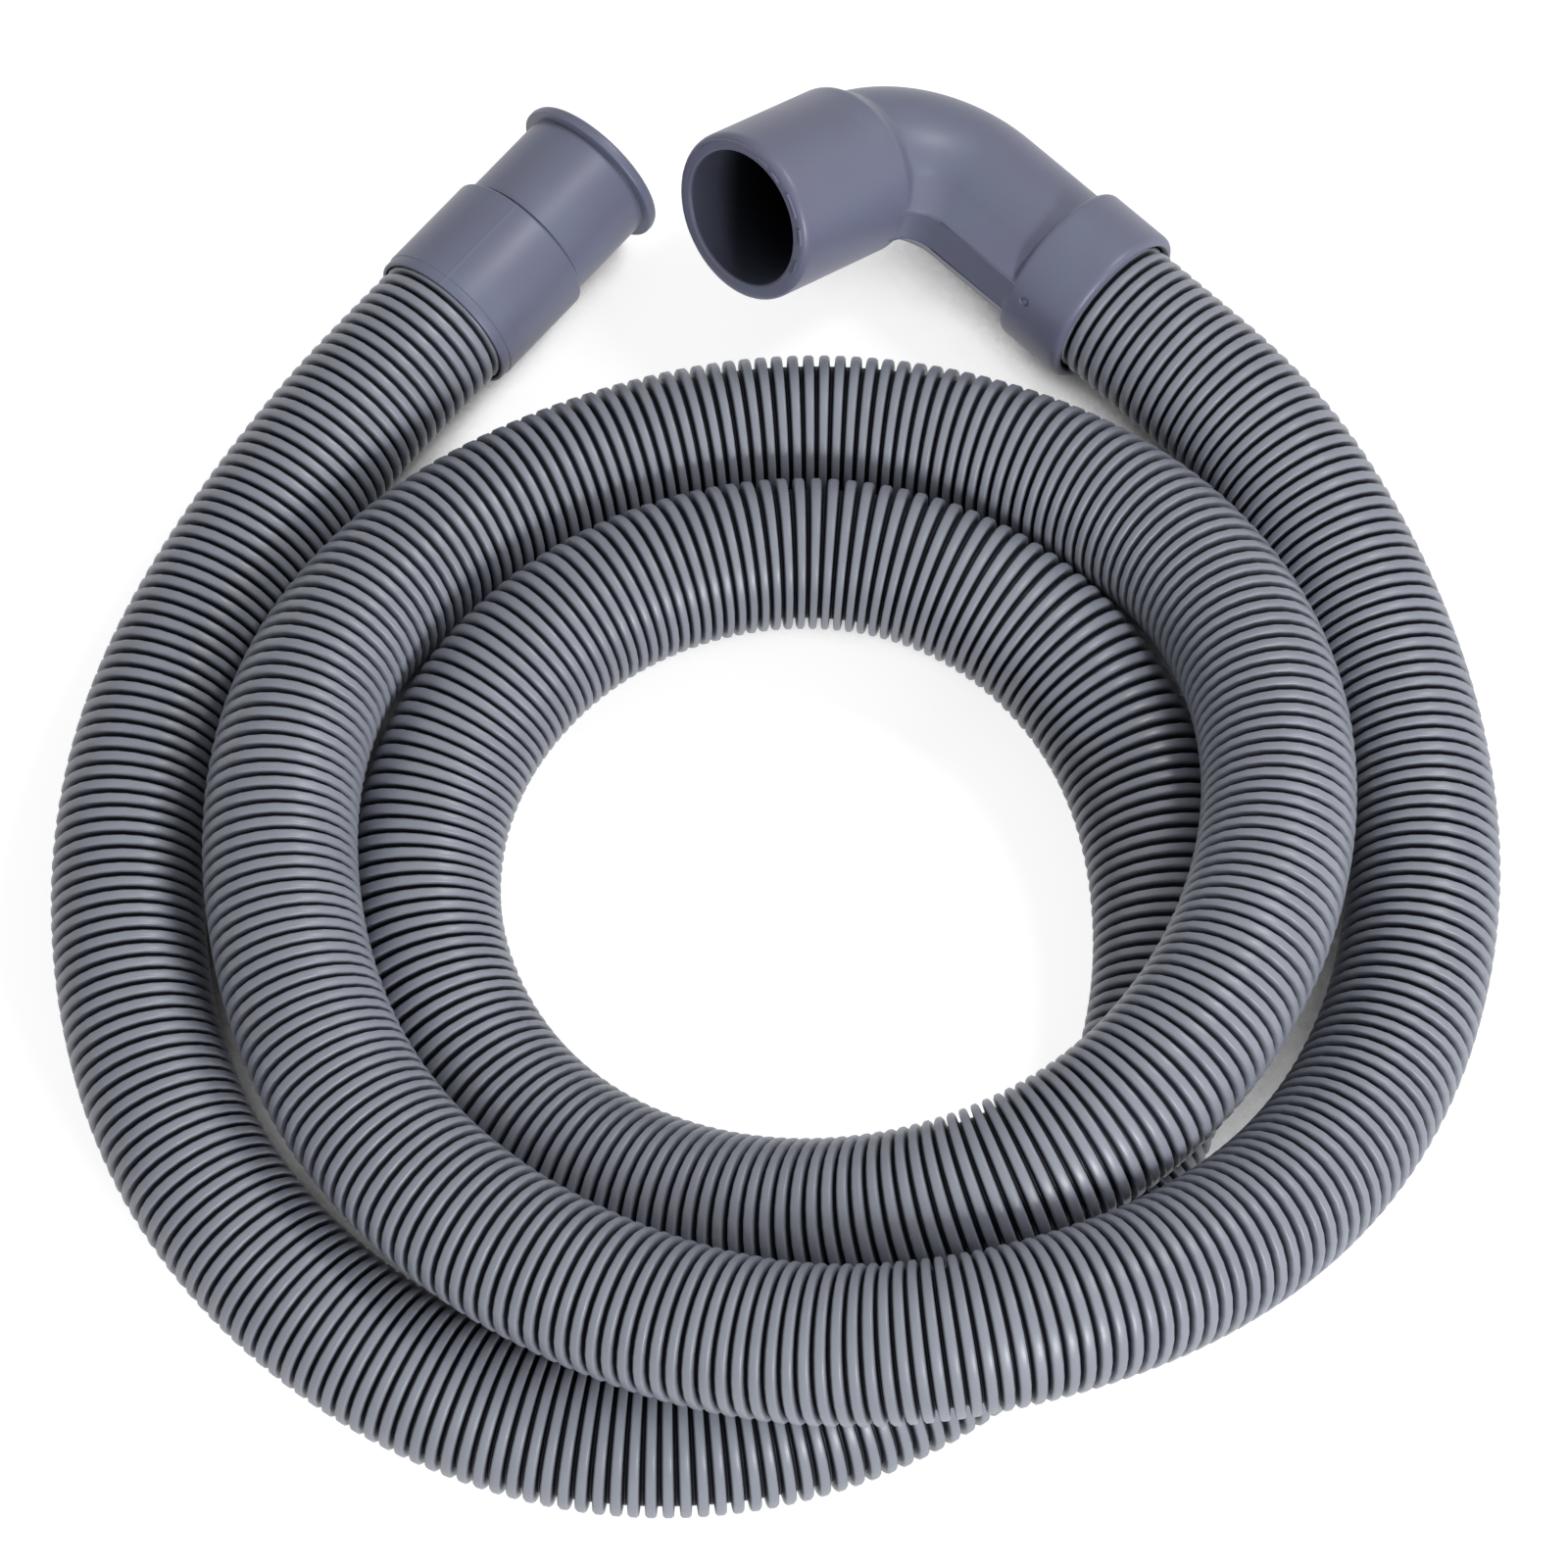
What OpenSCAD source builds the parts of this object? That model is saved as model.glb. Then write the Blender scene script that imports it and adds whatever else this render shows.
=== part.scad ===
// Ribbed waste hose in a loose coil, with a straight cuff on one end and a right-angle
// elbow on the other. Millimetres, +Z up. The origin is on the floor, under the middle
// of the whole, and the hose lies on the floor.
//
// The fittings are drawn along their own axes and then stood at the hose's two ends:
//   cuff  : x = 0 is the face the hose goes in at, +X runs to the open mouth
//   elbow : x = 0 is the face the hose goes in at, +X runs into the elbow and the
//           bend turns towards +Y, so that its web lies in the XY plane

/* [Hose] */
// Outside diameter over the ribs
hose_d = 34; // [28:0.5:42]
// Depth of a rib
rib_depth = 2.5; // [1.5:0.25:3]
// Thickness of wall left under the grooves
hose_wall = 1.5; // [1.25:0.25:4]
// Number of ribs from end to end
rib_count = 190; // [60:10:200]

/* [Coil] */
// Spread of the coil's turns, where 1 has them side by side
coil_spread = 1; // [1:0.01:1.3]

/* [Cuff] */
// Length of the sleeve that holds the hose
sleeve_length = 27; // [20:0.5:36]
// Thickness of the sleeve's wall
sleeve_wall = 1.2; // [1:0.1:3]
// Length from the sleeve's end to the open mouth
spigot_length = 26.5; // [18:0.5:40]
// Bore of the spigot
spigot_bore = 29; // [24:0.5:32]
// Thickness of the spigot's wall
spigot_wall = 2.35; // [1.5:0.05:4]
// How far the flange stands out of the spigot
flange_lip = 2.15; // [1:0.05:5]
// Thickness of the flange
flange_t = 2.8; // [2:0.1:5]

/* [Elbow] */
// Length of the collar that holds the hose
collar_length = 18; // [14:0.5:28]
// Thickness of the collar's wall
collar_wall = 2.7; // [2:0.1:5]
// Bore of the bent tube
tube_bore = 28.4; // [22:0.2:32]
// Thickness of the bent tube's wall
tube_wall = 3.2; // [2:0.1:5]
// Length of straight tube between the collar and the bend
tube_run = 24; // [16:0.5:40]
// Radius of the bend along the middle of the tube
bend_radius = 24; // [20:0.5:34]
// Angle that the tube turns through
bend_angle = 85; // [60:1:90]
// Bore of the socket
socket_bore = 32; // [26:0.5:40]
// Thickness of the socket's wall
socket_wall = 4; // [2.5:0.1:6]
// Depth of the socket's bore
socket_depth = 32; // [20:0.5:44]
// How far behind the end of the bend the socket's shoulder is
shoulder_back = 0; // [0:0.5:6]
// Thickness of the web in the inner corner
web_t = 8.5; // [4:0.5:16]
// Radius of the web's concave corner
web_corner = 7; // [3:0.5:12]
// Angle of the socket above level
elbow_roll = 24; // [10:1:90]

/* [Hidden] */
$fn = 96;
slip = 0.3;                        // room round the hose in a fitting that turns on it
stop_gap = 0.5;                    // room between the hose's end and the step it faces
edge_r = 1.5;                      // rounding of a moulded rim
chamfer = 0.5;                     // small chamfer of a moulded edge
overlap = 0.5;                     // how far a shape reaches into the one it joins or cuts
lip_run = 2.5;                     // length of the sleeve's thinned lip
step_r = 1;                        // rounding of the step from the sleeve to the spigot
step_run = 0.6;                    // length of the slope at the foot of that step
groove_w = 0.6;                    // groove round the spigot, behind the flange
groove_depth = 0.3;
bore_step = 2.5;                   // from the end of the bend to the socket's wider bore
core_step = 0.3;                   // step where the mould's cores met, at the bend's end
shoulder_run = 5.5;                // length of the slope behind the socket's shoulder
web_drop = 0.1;                    // how far the web's edge is under the collar's surface
hose_sides = 8;                    // sides of the drawn hose
hose_sink = hose_d / 10;           // how far the hose's underside is cut flat on the floor
size = hose_d / 34;                // the coil grows with the hose
plan = size * coil_spread;         // and its plan with the spread of its turns as well

mouth_d = hose_d + 2 * slip;       // bore of a fitting where the hose goes in
sleeve_d = mouth_d + 2 * sleeve_wall;
spigot_d = spigot_bore + 2 * spigot_wall;
flange_d = spigot_d + 2 * flange_lip;
cuff_length = sleeve_length + spigot_length;
collar_d = mouth_d + 2 * collar_wall;
tube_d = tube_bore + 2 * tube_wall;
socket_d = socket_bore + 2 * socket_wall;
bend_start = collar_length + tube_run;
socket_reach = bore_step + socket_depth;
spline_marks = 8;                  // points of the length table for each route point
bore_marks = 3;                    // rings of the bore for each route point

// ---- the way the hose lies ----
coil_middle = [2, -33.5] * plan;
elbow_seat = [77.5 * plan, 116.5 * plan, max(collar_d, tube_d) / 2];
elbow_heading = 136;               // which way the elbow leaves the hose, in plan
elbow_grip = collar_length - 2;    // how far the hose goes in
cuff_seat = [-76 * plan, 113.5 * plan, max(flange_d, sleeve_d) / 2];
cuff_heading = 50;
cuff_grip = sleeve_length - 5;
end_step = hose_d;                 // spacing of the route points on the straight ends
first_angle = 25;                  // the first station, as an angle about the coil's middle
station_angle = 22.5;              // from one station to the next, clockwise from above

// Stations from the elbow's end to the cuff's: distance from the middle, height
stations = [
    [151, 17], [144, 22], [138, 27], [132, 48], [124, 61], [116, 54], [108, 46], [107, 40],
    [109, 37], [111, 37], [117, 35], [120, 25], [120, 18], [123, 17], [126, 17], [126, 24],
    [119, 38], [109, 46], [101, 52], [95, 53], [88, 49], [81, 39], [76, 28], [75, 20],
    [77, 17], [81, 18], [83, 22], [83, 26], [85, 25], [88, 23], [90, 23], [90, 20],
    [88, 17], [86, 17], [89, 17], [96, 17], [107, 17], [120, 17], [131, 17], [138, 18],
    [145, 19], [147, 17], [152, 17]
];

function heading(a) = [cos(a), sin(a), 0];

function end_point(seat, angle, grip, k) = seat - heading(angle) * (end_step * k - grip);

function station_point(k) =
    let (a = first_angle - station_angle * k)
    [
        coil_middle[0] + stations[k][0] * plan * cos(a),
        coil_middle[1] + stations[k][0] * plan * sin(a),
        stations[k][1] * size - hose_sink
    ];

route = concat(
    [for (k = [-1:2]) end_point(elbow_seat, elbow_heading, elbow_grip, k)],
    [for (k = [0:len(stations) - 1]) station_point(k)],
    [for (k = [2:-1:-1]) end_point(cuff_seat, cuff_heading, cuff_grip, k)]
);
spans = len(route) - 3;

// A smooth curve that starts at the second route point and ends at the last but one
function span_point(i, u) =
    (pow(1 - u, 3) * route[i] + (3 * pow(u, 3) - 6 * pow(u, 2) + 4) * route[i + 1]
    + (1 + 3 * u + 3 * pow(u, 2) - 3 * pow(u, 3)) * route[i + 2] + pow(u, 3) * route[i + 3]) / 6;

function span_slope(i, u) =
    (-pow(1 - u, 2) * route[i] + (3 * pow(u, 2) - 4 * u) * route[i + 1]
    + (1 + 2 * u - 3 * pow(u, 2)) * route[i + 2] + pow(u, 2) * route[i + 3]) / 2;

function span_of(t) = min(floor(t), spans - 1);

// Table of [length along the hose, place on the route], for even spacing
marks = [for (k = [0:spans * spline_marks])
    let (t = k / spline_marks) span_point(span_of(t), t - span_of(t))];
steps = [for (k = [1:len(marks) - 1]) norm(marks[k] - marks[k - 1])];
lengths = [for (k = 0, s = 0; k <= len(steps); s = s + (k < len(steps) ? steps[k] : 0), k = k + 1) s];
hose_length = lengths[len(steps)];
table = [for (k = [0:len(steps)]) [lengths[k], k / spline_marks]];

// Ring of points square to the hose, flat side down and never below the floor
function hose_ring(s, radius) =
    let (
        t = lookup(s, table),
        i = span_of(t),
        middle = span_point(i, t - i),
        slope = span_slope(i, t - i),
        side = cross(slope, [0, 0, 1]) / norm(cross(slope, [0, 0, 1])),
        top = cross(side, slope) / norm(slope)
    )
    [for (k = [0:hose_sides - 1])
        let (
            a = (k + 0.5) * 360 / hose_sides,
            p = middle + radius * (cos(a) * side + sin(a) * top)
        )
        [p[0], p[1], max(p[2], 0)]];

// Least distance between two turns of the hose, measured on points of its middle
function least_gap() =
    let (
        points = [for (k = [0:2:len(marks) - 1]) marks[k]],
        apart = 4 * spline_marks / 2
    )
    min([for (j = [apart:len(points) - 1]) for (k = [0:j - apart]) norm(points[j] - points[k])])
    - hose_d;

echo(hose_length = hose_length, least_gap = least_gap());

// Triangles between ring a and ring b of a skin; the outside is seen counter-clockwise
function band(a, b) = [for (k = [0:hose_sides - 1])
    let (n = (k + 1) % hose_sides)
    each [[a + k, a + n, b + n], [a + k, b + n, b + k]]];

module ribbed_hose() {
    rings = 2 * rib_count + 1;
    bore_rings = bore_marks * spans + 1;
    crest = hose_d / 2;
    groove = crest - rib_depth;
    bore = groove - hose_wall;
    outside = [for (k = [0:rings - 1])
        hose_ring(hose_length * k / (rings - 1), k % 2 == 0 ? crest : groove)];
    inside = [for (k = [0:bore_rings - 1]) hose_ring(hose_length * k / (bore_rings - 1), bore)];
    first_inside = rings * hose_sides;
    last_outside = (rings - 1) * hose_sides;
    last_inside = first_inside + (bore_rings - 1) * hose_sides;
    color("#8a8e99")
        polyhedron(
            points = [for (ring = concat(outside, inside)) each ring],
            faces = concat(
                [for (k = [0:rings - 2]) each band(k * hose_sides, (k + 1) * hose_sides)],
                [for (k = [0:bore_rings - 2])
                    each band(first_inside + (k + 1) * hose_sides, first_inside + k * hose_sides)],
                band(first_inside, 0),
                band(last_outside, last_inside)
            )
        );
}

// Turns an outline of [length, radius] points about the X axis
module turned(outline) {
    rotate([0, 90, 0])
        rotate_extrude()
            polygon([for (p = outline) [p[1], p[0]]]);
}

// Points of a quarter round, from the angle a on, about the point at length x, radius r
function quarter(x, r, a, round_r) =
    [for (k = [0:4]) [x + round_r * cos(a - k * 22.5), r + round_r * sin(a - k * 22.5)]];

module straight_cuff() {
    sleeve_r = sleeve_d / 2;
    spigot_r = spigot_d / 2;
    flange_r = flange_d / 2;
    flange_x = cuff_length - flange_t;
    rim_r = flange_t / 2.4;
    hose_stop = cuff_grip + stop_gap;
    color("#70768c")
        translate(cuff_seat)
            rotate([0, 0, cuff_heading])
                turned(concat(
                    [
                        [0, mouth_d / 2],
                        [0, sleeve_r - sleeve_wall / 2],
                        [lip_run, sleeve_r]
                    ],
                    quarter(sleeve_length - step_r, sleeve_r - step_r, 90, step_r),
                    [
                        [sleeve_length + step_run, spigot_r],
                        [flange_x - groove_w, spigot_r],
                        [flange_x - groove_w, spigot_r - groove_depth],
                        [flange_x, spigot_r - groove_depth],
                        [flange_x, flange_r - chamfer],
                        [flange_x + chamfer, flange_r]
                    ],
                    quarter(cuff_length - rim_r, flange_r - rim_r, 90, rim_r),
                    [
                        [cuff_length, spigot_bore / 2 + chamfer],
                        [cuff_length - chamfer, spigot_bore / 2],
                        [hose_stop, spigot_bore / 2],
                        [hose_stop, mouth_d / 2]
                    ]
                ));
}

// What runs round the bend, up to its end: the tube, or the way through it
module bent_tube(from_x, radius) {
    translate([from_x, 0, 0])
        rotate([0, 90, 0])
            cylinder(h = bend_start - from_x, r = radius);
    translate([bend_start, bend_radius, 0])
        rotate([0, 0, -90])
            rotate_extrude(angle = bend_angle)
                translate([bend_radius, 0])
                    circle(r = radius);
}

// Moves to the end of the bend, with +X along the socket
module at_bend_end() {
    translate([
        bend_start + bend_radius * sin(bend_angle),
        bend_radius * (1 - cos(bend_angle)),
        0
    ])
        rotate([0, 0, bend_angle])
            children();
}

module collar() {
    turned(concat(
        [[0, 0], [0, collar_d / 2 - edge_r]],
        quarter(edge_r, collar_d / 2 - edge_r, 180, edge_r),
        quarter(collar_length - edge_r, collar_d / 2 - edge_r, 90, edge_r),
        [[collar_length, 0]]
    ));
}

module socket() {
    foot_x = -shoulder_back - shoulder_run;
    sag = pow(foot_x, 2) / (2 * bend_radius);    // how far the tube has bent away there
    at_bend_end()
        turned(concat(
            [
                [foot_x, 0],
                [foot_x, tube_d / 2 - sag],
                [-shoulder_back, socket_d / 2 - chamfer],
                [-shoulder_back + chamfer, socket_d / 2]
            ],
            quarter(socket_reach - edge_r, socket_d / 2 - edge_r, 90, edge_r),
            [[socket_reach, 0]]
        ));
}

// The way through the socket: its own bore, and a short core that meets the bend's
module socket_way() {
    core_r = tube_bore / 2 + core_step;
    at_bend_end()
        turned([
            [-overlap, 0],
            [-overlap, core_r],
            [bore_step, core_r],
            [bore_step, socket_bore / 2],
            [socket_reach + overlap, socket_bore / 2],
            [socket_reach + overlap, 0]
        ]);
}

// Flat web between the collar and the socket, with its one free edge hollowed
module web() {
    edge_y = sqrt(pow(collar_d / 2, 2) - pow(web_t / 2, 2)) - web_drop;
    wall_x = bend_start + bend_radius * sin(bend_angle) - socket_d / 2 + overlap;
    corner = [wall_x - web_corner, edge_y + web_corner];
    start_x = collar_length - edge_r - overlap;
    linear_extrude(height = web_t, center = true)
        polygon(concat(
            [[start_x, tube_d / 4], [start_x, edge_y]],
            [for (k = [0:6]) corner + web_corner * [cos(15 * k - 90), sin(15 * k - 90)]],
            [[bend_start + bend_radius, edge_y + web_corner], [bend_start + bend_radius, tube_d / 4]]
        ));
}

module elbow_fitting() {
    color("#70768c")
        translate(elbow_seat)
            rotate([elbow_roll, 0, elbow_heading])
                difference() {
                    union() {
                        collar();
                        bent_tube(collar_length - overlap, tube_d / 2);
                        socket();
                        web();
                    }
                    translate([-overlap, 0, 0])
                        rotate([0, 90, 0])
                            cylinder(h = elbow_grip + stop_gap + overlap, r = mouth_d / 2);
                    bent_tube(elbow_grip, tube_bore / 2);
                    socket_way();
                }
}

ribbed_hose();
straight_cuff();
elbow_fitting();
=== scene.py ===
"""A ribbed waste hose in a loose coil, with a straight cuff and a right-angle elbow.

Everything is in metres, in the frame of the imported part: +Z is up and the hose lies
on z = 0. Sizes are written in millimetres and turned to metres by MM.
"""

import logging
import math
from collections.abc import Callable
from dataclasses import dataclass, field
from enum import Enum

import bmesh
import bpy
from mathutils import Matrix, Vector


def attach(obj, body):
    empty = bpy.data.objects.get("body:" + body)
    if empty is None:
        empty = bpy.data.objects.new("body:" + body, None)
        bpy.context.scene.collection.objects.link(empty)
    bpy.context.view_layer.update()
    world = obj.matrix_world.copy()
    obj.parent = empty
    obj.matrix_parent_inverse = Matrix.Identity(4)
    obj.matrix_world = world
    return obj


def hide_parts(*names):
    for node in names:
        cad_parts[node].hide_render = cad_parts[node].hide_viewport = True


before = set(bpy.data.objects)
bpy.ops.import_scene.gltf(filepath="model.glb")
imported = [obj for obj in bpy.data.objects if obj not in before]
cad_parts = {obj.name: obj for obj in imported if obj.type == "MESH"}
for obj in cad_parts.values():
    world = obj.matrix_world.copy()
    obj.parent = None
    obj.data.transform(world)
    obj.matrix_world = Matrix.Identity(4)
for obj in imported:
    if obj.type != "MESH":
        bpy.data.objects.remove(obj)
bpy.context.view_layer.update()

MM = 0.001
UP = Vector((0.0, 0.0, 1.0))
# Edges that turn by more than this many degrees stay crisp
CRISP_ANGLE = 40.0
# Sockets of a colour mix, by number because their names stand for other kinds too
MIX_SHARE, MIX_FIRST, MIX_SECOND, MIX_RESULT = 0, 6, 7, 2

log = logging.getLogger("hose")

Span = tuple[float, float]
Outline = list[tuple[float, float]]
Colour = tuple[float, float, float, float]


# ---------------------------------------------------------------- small helpers


def linear(hex_colour: str) -> Colour:
    """Turn an sRGB hex colour to linear light.

    Args:
        hex_colour: Six hex digits, with or without a leading #.

    Returns:
        Red, green, blue and an alpha of 1.
    """
    digits = hex_colour.lstrip("#")
    channels = [int(digits[k : k + 2], 16) / 255 for k in (0, 2, 4)]
    lit = [c / 12.92 if c <= 0.04045 else ((c + 0.055) / 1.055) ** 2.4 for c in channels]
    return (lit[0], lit[1], lit[2], 1.0)


def add_node(
    tree: bpy.types.NodeTree, kind: str, settings: dict | None = None, links: dict | None = None
) -> bpy.types.Node:
    """Add a node with its settings and links.

    Args:
        tree: The tree that the node goes in.
        kind: The node's type, such as ShaderNodeTexNoise.
        settings: Values by the name or number of an input, or by the name of a property.
        links: Output sockets by the name or number of the input that they go to.

    Returns:
        The new node.
    """
    made = tree.nodes.new(kind)
    for name, value in (settings or {}).items():
        if isinstance(name, str) and name not in made.inputs:
            setattr(made, name, value)
        else:
            made.inputs[name].default_value = value
    for name, source in (links or {}).items():
        tree.links.new(source, made.inputs[name])
    return made


def per_metre(size_mm: float) -> float:
    """A noise texture's scale for features of this size in millimetres."""
    return 1.0 / (size_mm * MM)


def limits(side: str, span: Span) -> dict[str, float]:
    """The settings that hold the two ends of a span, such as From Min and From Max."""
    return {f"{side} Min": span[0], f"{side} Max": span[1]}


def new_material(name: str) -> tuple[bpy.types.Material, bpy.types.NodeTree, bpy.types.Node]:
    """Make a material, and give it with its node tree and its surface shader."""
    made = bpy.data.materials.new(name)
    made.use_nodes = True
    return made, made.node_tree, made.node_tree.nodes["Principled BSDF"]


def arc(x: float, r: float, start: float, end: float, round_r: float, steps: int = 6) -> Outline:
    """Points of an arc in an outline of (length, radius) points.

    Args:
        x: Length of the arc's middle along the axis.
        r: Distance of the arc's middle from the axis.
        start: Angle of the first point in degrees, 0 being along the axis.
        end: Angle of the last point in degrees.
        round_r: Radius of the arc.
        steps: Number of steps from the first point to the last.

    Returns:
        The points in order.
    """
    angles = [math.radians(start + (end - start) * k / steps) for k in range(steps + 1)]
    return [(x + round_r * math.cos(a), r + round_r * math.sin(a)) for a in angles]


def lathe(mesh: bmesh.types.BMesh, outline: Outline, sides: int, place: Matrix) -> None:
    """Turn a closed outline round the X axis and add it to a mesh.

    Args:
        mesh: The mesh that gets the turned shape.
        outline: Points of (length, radius) in millimetres. Points on the axis are merged.
        sides: Number of sides of the full turn.
        place: Where the shape goes, in millimetres.
    """
    old = set(mesh.verts)
    ring = [mesh.verts.new((x, 0.0, r)) for x, r in outline]
    on_axis = min(r for _, r in outline) <= 0
    ends = ring[1:] if on_axis else ring[1:] + ring[:1]
    edges = [mesh.edges.new(pair) for pair in zip(ring, ends)]
    bmesh.ops.spin(
        mesh,
        geom=ring + edges,
        cent=(0, 0, 0),
        axis=(1, 0, 0),
        angle=math.tau,
        steps=sides,
        use_merge=True,
    )
    turned = [v for v in mesh.verts if v not in old]
    bmesh.ops.remove_doubles(mesh, verts=turned, dist=1e-5)
    turned = [v for v in mesh.verts if v not in old]
    bmesh.ops.recalc_face_normals(mesh, faces=list({f for v in turned for f in v.link_faces}))
    bmesh.ops.transform(mesh, matrix=place, verts=turned)


def pull(mesh: bmesh.types.BMesh, face: bmesh.types.BMFace, by: Vector) -> bmesh.types.BMFace:
    """Pull a face out of a mesh.

    Args:
        mesh: The mesh it is in.
        face: The face.
        by: How far it is pulled.

    Returns:
        The face at the new place.
    """
    made = bmesh.ops.extrude_face_region(mesh, geom=[face])["geom"]
    bmesh.ops.translate(mesh, vec=by, verts=[g for g in made if isinstance(g, bmesh.types.BMVert)])
    return next(g for g in made if isinstance(g, bmesh.types.BMFace))


def finished(obj: bpy.types.Object) -> bpy.types.Object:
    """Replace an object's mesh by what its modifiers make of it, and clear them."""
    shown = obj.evaluated_get(bpy.context.evaluated_depsgraph_get())
    made = bpy.data.meshes.new_from_object(shown)
    obj.modifiers.clear()
    obj.data = made
    return obj


def new_object(name: str, mesh: bmesh.types.BMesh) -> bpy.types.Object:
    """Make an object of a mesh in millimetres, in metres and smooth, and free the mesh."""
    bmesh.ops.scale(mesh, vec=(MM, MM, MM), verts=mesh.verts)
    for face in mesh.faces:
        face.smooth = True
    data = bpy.data.meshes.new(name)
    mesh.to_mesh(data)
    mesh.free()
    obj = bpy.data.objects.new(name, data)
    bpy.context.scene.collection.objects.link(obj)
    return obj


def sharpen(obj: bpy.types.Object) -> None:
    """Keep an object's sharp edges crisp under smooth shading."""
    mesh = bmesh.new()
    mesh.from_mesh(obj.data)
    for edge in mesh.edges:
        edge.smooth = edge.calc_face_angle(0.0) < math.radians(CRISP_ANGLE)
    mesh.to_mesh(obj.data)
    mesh.free()


def mark(obj: bpy.types.Object, name: str, place: Matrix, level: Callable[[Vector], float]) -> None:
    """Store a number at every vertex of an object.

    Args:
        obj: The object, in metres.
        name: The attribute's name.
        place: Where the piece stands, in millimetres.
        level: Gives the number at a point of the piece's own frame, in millimetres.
    """
    back = place.inverted()
    levels = [level(back @ (vertex.co / MM)) for vertex in obj.data.vertices]
    obj.data.attributes.new(name, "FLOAT", "POINT").data.foreach_set("value", levels)


# ---------------------------------------------------------------- finishes


@dataclass(frozen=True)
class BlowMouldedPolyethylene:
    """Blow-moulded polyethylene: a slightly waxy grey skin with a soft broad shine."""

    crest: str = "#8A8E99"
    # Painted shade: this groove colour stands in for the shade down between the ribs; the plastic
    # is the crest's colour all over
    groove: str = "#33353E"
    # Heights on a rib, 0 at its foot and 1 on top, between which the painted groove shade turns to
    # the plastic's own colour
    shaded: Span = (0.25, 0.95)
    # The mould leaves the pigment a little uneven from one stretch to the next
    tone_mm: float = 14.0
    tone_detail: float = 2.0
    tone_noise: Span = (0.3, 0.7)
    tone: Span = (0.93, 1.06)
    skin_mm: float = 0.9
    skin_detail: float = 3.0
    roughness: Span = (0.3, 0.44)
    bump: float = 0.12
    bump_mm: float = 0.05
    refraction: float = 1.5

    def material(self) -> bpy.types.Material:
        """Make the hose's finish, with shade painted dark down into the grooves between the ribs.

        Returns:
            The material.
        """
        made, tree, shader = new_material("blow_moulded_polyethylene")
        place = {"Vector": add_node(tree, "ShaderNodeTexCoord").outputs["Object"]}
        height = add_node(tree, "ShaderNodeAttribute", {"attribute_name": "rib_height"})
        tone = add_node(
            tree,
            "ShaderNodeTexNoise",
            {"Scale": per_metre(self.tone_mm), "Detail": self.tone_detail},
            place,
        )
        shift = add_node(
            tree,
            "ShaderNodeMapRange",
            limits("From", self.tone_noise) | limits("To", self.tone),
            {"Value": tone.outputs["Fac"]},
        )
        rise = add_node(
            tree,
            "ShaderNodeMapRange",
            {"interpolation_type": "SMOOTHSTEP"} | limits("From", self.shaded),
            {"Value": height.outputs["Fac"]},
        )
        # Painted shade: the colour falls from the crest's to the groove's down each rib's flanks
        ramp = add_node(
            tree,
            "ShaderNodeMix",
            {"data_type": "RGBA", MIX_FIRST: linear(self.groove), MIX_SECOND: linear(self.crest)},
            {MIX_SHARE: rise.outputs["Result"]},
        )
        tinted = add_node(
            tree,
            "ShaderNodeVectorMath",
            {"operation": "SCALE"},
            {0: ramp.outputs[MIX_RESULT], "Scale": shift.outputs["Result"]},
        )
        skin = add_node(
            tree,
            "ShaderNodeTexNoise",
            {"Scale": per_metre(self.skin_mm), "Detail": self.skin_detail},
            place,
        )
        gloss = add_node(
            tree,
            "ShaderNodeMapRange",
            limits("To", self.roughness),
            {"Value": skin.outputs["Fac"]},
        )
        bump = add_node(
            tree,
            "ShaderNodeBump",
            {"Strength": self.bump, "Distance": self.bump_mm * MM},
            {"Height": skin.outputs["Fac"]},
        )
        tree.links.new(tinted.outputs["Vector"], shader.inputs["Base Color"])
        tree.links.new(gloss.outputs["Result"], shader.inputs["Roughness"])
        tree.links.new(bump.outputs["Normal"], shader.inputs["Normal"])
        shader.inputs["IOR"].default_value = self.refraction
        return made


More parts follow.
